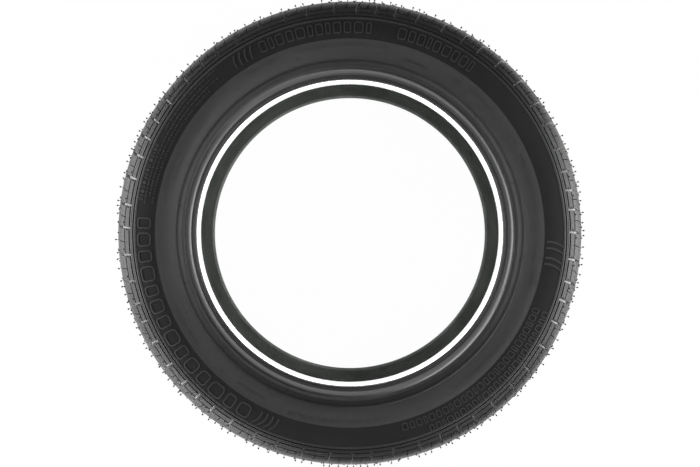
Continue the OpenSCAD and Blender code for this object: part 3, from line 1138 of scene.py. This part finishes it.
def liner_material(colour):
    """The inner liner: rubber paled as painted light inside the tyre, with the bladder's slanting print.
    """
    material = bpy.data.materials.new("liner_rubber")
    g = Graph(material)
    radius, angle, _ = g.place()
    # This paleness is painted light that stands in for the light inside the tyre, not the rubber's own
    # colour
    pale = shade(colour, LINER_PAINTED_LIGHT)
    slanted = g.math("SUBTRACT", angle, g.math("MULTIPLY", radius, LINER_SLANT))
    lines = g.wave(slanted, LINER_COUNT)
    tone = g.math("ADD", g.noise(14.0, 4.0), g.math("MULTIPLY", lines, LINER_TONE))
    base = ramp(g, tone, ((0.25, shade(pale, 0.7)), (0.75, shade(pale, 1.3))))
    normal = g.bump(lines, LINER_DEPTH, g.bump(g.noise(900.0, 3.0), 0.0001))
    g.surface({"Base Color": base, "Normal": normal, "Roughness": 0.6})
    return material


def band_material(colour):
    """The sunk band with the marks: the same rubber, dull from its finely cut mould, darkened as painted
    shade.
    """
    # The 0.65 darkening is painted shade for the light trapped in the band's fine cuts
    return rubber_material("band_rubber", shade(colour, 0.65), 0.2)


def ring_material(colour):
    """The rounded ring on the bead and the slots' floors, which the mould leaves glossier."""
    return rubber_material("ring_rubber", colour, 1.0, 1.72, SMOOTH_GRAIN)


def hair_material(colour):
    """Vent hairs: the same rubber, too thin to show a gloss."""
    return rubber_material("hair_rubber", shade(colour, 0.6), 0.1)


def seat_material(colour):
    """The bead seat's skin: mould-smoothed rubber with a wet-looking gloss, paled as a painted
    reflection.
    """
    material = bpy.data.materials.new("seat_rubber")
    g = Graph(material)
    rough = g.spread(g.noise(500.0, 2.0), 0.0, 1.0, 0.05, 0.09)
    # The pale base colour is a painted reflection of the white floor seen through the tyre's hole
    g.surface({"Base Color": (*shade(colour, SEAT_PAINTED_REFLECTION), 1.0), "Roughness": rough,
               "Specular IOR Level": 1.0, "IOR": 2.6,
               "Coat Weight": 1.0, "Coat Roughness": 0.03, "Coat IOR": 2.5})
    return material


# Half the width of the bead ring's gloss, and the depths between which the shoulder's slots are glossy
RING_GLOSS_HALF = 3.6 * MM
SLOT_GLOSS = (1.6 * MM, 2.4 * MM)
# The casing's material slots
RUBBER, SEAT, LINER, BAND, RING = range(5)
# Where the liner starts: room left outside it at the crown and the side, how steeply its bound rises over
# the bead, how the bound falls away from the widest radius, and room at the seat and the toe
CROWN_ROOM, SIDE_ROOM = 0.4 * MM, 1.5 * MM
BEAD_RISE, SIDE_FALL = 0.6, 12.0
SEAT_ROOM, TOE_ROOM = 0.55 * MM, 0.3 * MM
# How near a face lies to the surface that it belongs to, on the seat and on the bead's face
SEAT_NEAR, FACE_NEAR = 0.05 * MM, 0.5 * MM
# How far below the tread's edge the shoulder's slots reach
SHOULDER_DROP = 12 * MM


def is_liner(sec, r, z):
    """Whether a point of the casing lies on its inside, past the crown, the side and the bead."""
    s = sec.s
    crown_in = sec.tread_r - s.groove_depth - s.under_t + CROWN_ROOM
    bead_in = sec.heel_c[1] + BEAD_RISE * (r - s.bead_ring_r)
    side_in = sec.side_z - SIDE_ROOM - SIDE_FALL * (r - s.wide_r) ** 2
    past_seat = r > s.rim_seat_d / 2 + SEAT_ROOM or z <= sec.face_z - s.bead_w + TOE_ROOM
    return r < crown_in and z < min(bead_in, side_in) and past_seat


def slot_of_face(sec, r, z):
    """The material slot for a face of the casing, by its radius and height."""
    s = sec.s
    band_in, band_out = (BAND_R - BAND_W / 2) * MM, (BAND_R + BAND_W / 2) * MM
    if r < s.rim_seat_d / 2 + SEAT_NEAR and z > sec.face_z - s.bead_w + SKIN_FOOT:
        return SEAT
    if is_liner(sec, r, z):
        return LINER
    if band_in < r < band_out and z > sec.edge_z:
        return BAND
    if abs(r - s.bead_ring_r) < RING_GLOSS_HALF and z > sec.face_z - FACE_NEAR:
        return RING
    if r > band_out and z > sec.edge_z - SHOULDER_DROP:
        depth = sec.upper_arc - math.hypot(r - sec.upper_c[0], z - sec.upper_c[1])
        if SLOT_GLOSS[0] < depth < SLOT_GLOSS[1]:
            return RING
    return RUBBER


def paint_casing(casing, sec):
    """Gives the casing's faces their own materials, by where they lie."""
    colour = tuple(bpy.context.scene.tyre_finish.rubber)
    for make in (seat_material, liner_material, band_material, ring_material):
        casing.data.materials.append(make(colour))
    for face in casing.data.polygons:
        x, y, z = face.center
        face.material_index = slot_of_face(sec, math.hypot(x, y), abs(z))


def shared_rubber():
    """The rubber that the casing and its marks, stubs and joints share."""
    found = bpy.data.materials.get("moulded_rubber")
    return found or rubber_material("moulded_rubber", tuple(bpy.context.scene.tyre_finish.rubber))


class TYRE_OT_casing(bpy.types.Operator):
    """Turns the section round the axis and cuts the blocks"""
    bl_idname = "tyre.casing"
    bl_label = "Casing"

    def execute(self, context):
        sec = Section(sizes())
        casing = outline_object("casing", section_loop(sec))
        turn_round_axis(casing, sizes().turn_steps)
        cut_with(casing, cutter_object(sec, context.scene.tyre_cuts))
        finish_piece(casing, shared_rubber())
        paint_casing(casing, sec)
        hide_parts("tyre")
        return {"FINISHED"}


# The photo's camera: focal length and width of the picture in pixels, distance above the near bead and
# offset from the axis
FOCAL_PX, FRAME_PX = 1126.0, 700.0
CAMERA_ABOVE = 1.2115
CAMERA_OFF = (0.0002, -0.0005)
SENSOR_MM = 36.0


def camera_object():
    """A camera straight above the near bead, at the distance that the photo's circles give."""
    data = bpy.data.cameras.new("photo_camera")
    camera = bpy.data.objects.new("photo_camera", data)
    bpy.context.scene.collection.objects.link(camera)
    data.sensor_width = SENSOR_MM
    data.lens = FOCAL_PX / FRAME_PX * SENSOR_MM
    data.clip_start, data.clip_end = 0.05, 50.0
    camera.location = (*CAMERA_OFF, sizes().bead_spacing / 2 + CAMERA_ABOVE)
    return camera


def area_lamp(name, place, target, width, height, watts):
    """A soft rectangular lamp that faces a target."""
    data = bpy.data.lights.new(name, "AREA")
    data.shape = "RECTANGLE"
    data.size, data.size_y, data.energy = width, height, watts
    lamp = bpy.data.objects.new(name, data)
    bpy.context.scene.collection.objects.link(lamp)
    lamp.location = place
    lamp.rotation_euler = (Vector(target) - Vector(place)).to_track_quat("-Z", "Y").to_euler()


WHITE = (1.0, 1.0, 1.0, 1.0)
# Radius of the floor that mirrors see as white, through the tyre's hole, and the softness of its edge
UNDER_R, UNDER_SOFT = 0.19, 0.03
# How white they see the rest of the floor
MIRROR_SHARE = 0.06
# How much of the floor's own light and shadow the white page hides
PAGE_SHARE = 0.98
FLOOR_SIZE = 12.0
# Strength of the world's light, which the camera doesn't see
WORLD_DIM = 0.03


def floor_material(colour):
    """A pale matt floor that camera, mirrors and glass see as white, with some of the tyre's shadow."""
    material = bpy.data.materials.new("pale_floor")
    g = Graph(material)
    lit = g.fed("ShaderNodeBsdfDiffuse", {"Color": (*colour, 1.0)}).outputs[0]
    glow = g.fed("ShaderNodeEmission", {"Color": WHITE, "Strength": 1.0}).outputs[0]
    path = g.node("ShaderNodeLightPath").outputs
    under = g.between(g.place()[0], -1.0, UNDER_R, UNDER_SOFT)
    white = g.math("ADD", g.math("MULTIPLY", under, 1.0 - MIRROR_SHARE), MIRROR_SHARE)
    seen = g.math("MAXIMUM", path["Is Camera Ray"], g.math("MULTIPLY", path["Is Glossy Ray"], white))
    seen = g.math("MAXIMUM", seen, path["Is Transmission Ray"])
    g.show(g.mix(g.math("MULTIPLY", seen, PAGE_SHARE), lit, glow))
    return material


def studio_world():
    """A world that is white to the camera, and a dim even light otherwise."""
    world = bpy.data.worlds.new("studio")
    bpy.context.scene.world = world
    g = Graph(world)
    dim = g.fed("ShaderNodeBackground", {"Color": WHITE, "Strength": WORLD_DIM}).outputs[0]
    seen = g.fed("ShaderNodeBackground", {"Color": WHITE, "Strength": 1.0}).outputs[0]
    path = g.node("ShaderNodeLightPath").outputs
    g.show(g.mix(path["Is Camera Ray"], dim, seen), "ShaderNodeOutputWorld")


# Soft lamps: name, place, target, width and height in metres, watts
LAMPS = (
    ("left_low", (-1.1, 0.1, 0.10), (-0.2, 0, 0.08), 0.9, 0.4, 8.0),
    ("left_box", (-1.0, 0.0, 0.6), (-0.1, 0, 0), 0.9, 0.4, 7.0),
    ("left_corner", (-0.75, -0.85, 0.15), (-0.1, -0.1, 0.05), 0.8, 0.4, 7.0),
    ("right_corner", (0.6, -0.6, 0.75), (0.1, -0.1, 0), 0.6, 0.4, 5.0),
    ("right_low", (1.1, 0.0, 0.07), (0.2, 0, 0.06), 0.9, 0.34, 8.0),
    ("right_box", (1.0, 0.0, 0.42), (0.1, 0, 0), 0.9, 0.3, 4.5),
    ("right_high", (0.75, 0.0, 1.5), (0, 0, 0), 0.4, 0.7, 5.0),
    ("far_right", (0.25, 0.75, 1.35), (0, 0, 0), 0.7, 0.35, 1.6),
    ("far_left", (-0.45, 0.8, 1.15), (0, 0, 0), 0.6, 0.35, 1.6),
    ("top_box", (0.0, 0.0, 2.3), (0, 0, 0), 1.5, 1.5, 4.5),
    ("hole_glow", (0.0, 0.0, -0.09), (0, 0, 1.0), 0.22, 0.22, 1.1),
)


class TYRE_OT_stage(bpy.types.Operator):
    """Adds the pale floor, the soft lamps and the camera"""
    bl_idname = "tyre.stage"
    bl_label = "Stage"

    def execute(self, context):
        deselect()
        bpy.ops.mesh.primitive_plane_add(size=FLOOR_SIZE, location=(0, 0, 0))
        floor = context.object
        floor.name = "floor"
        floor.data.transform(Matrix.Translation((0, 0, -sizes().section_w / 2)))
        floor.data.materials.append(floor_material(context.scene.tyre_finish.floor))
        studio_world()
        for lamp in LAMPS:
            area_lamp(*lamp)
        context.scene.camera = camera_object()
        context.scene.view_settings.view_transform = "Standard"
        return {"FINISHED"}


class TYRE_PT_panel(bpy.types.Panel):
    """Lists the steps that make the tyre"""
    bl_idname = "TYRE_PT_panel"
    bl_label = "Trailer tyre"
    bl_space_type = "VIEW_3D"
    bl_region_type = "UI"
    bl_category = "Tyre"

    def draw(self, context):
        for step in STEPS:
            self.layout.operator(step.bl_idname)


STEPS = (TYRE_OT_casing, TYRE_OT_marks, TYRE_OT_vents, TYRE_OT_seams, TYRE_OT_stage)
CLASSES = (TyreSection, TyreCuts, TyreFinish) + STEPS + (TYRE_PT_panel,)


def register():
    for cls in CLASSES:
        bpy.utils.register_class(cls)
    bpy.types.Scene.tyre_section = PointerProperty(type=TyreSection)
    bpy.types.Scene.tyre_cuts = PointerProperty(type=TyreCuts)
    bpy.types.Scene.tyre_finish = PointerProperty(type=TyreFinish)


def unregister():
    del bpy.types.Scene.tyre_section
    del bpy.types.Scene.tyre_cuts
    del bpy.types.Scene.tyre_finish
    for cls in reversed(CLASSES):
        bpy.utils.unregister_class(cls)


def main():
    register()
    bpy.ops.tyre.casing()
    bpy.ops.tyre.marks()
    bpy.ops.tyre.vents()
    bpy.ops.tyre.seams()
    bpy.ops.tyre.stage()


if __name__ == "__main__":
    main()
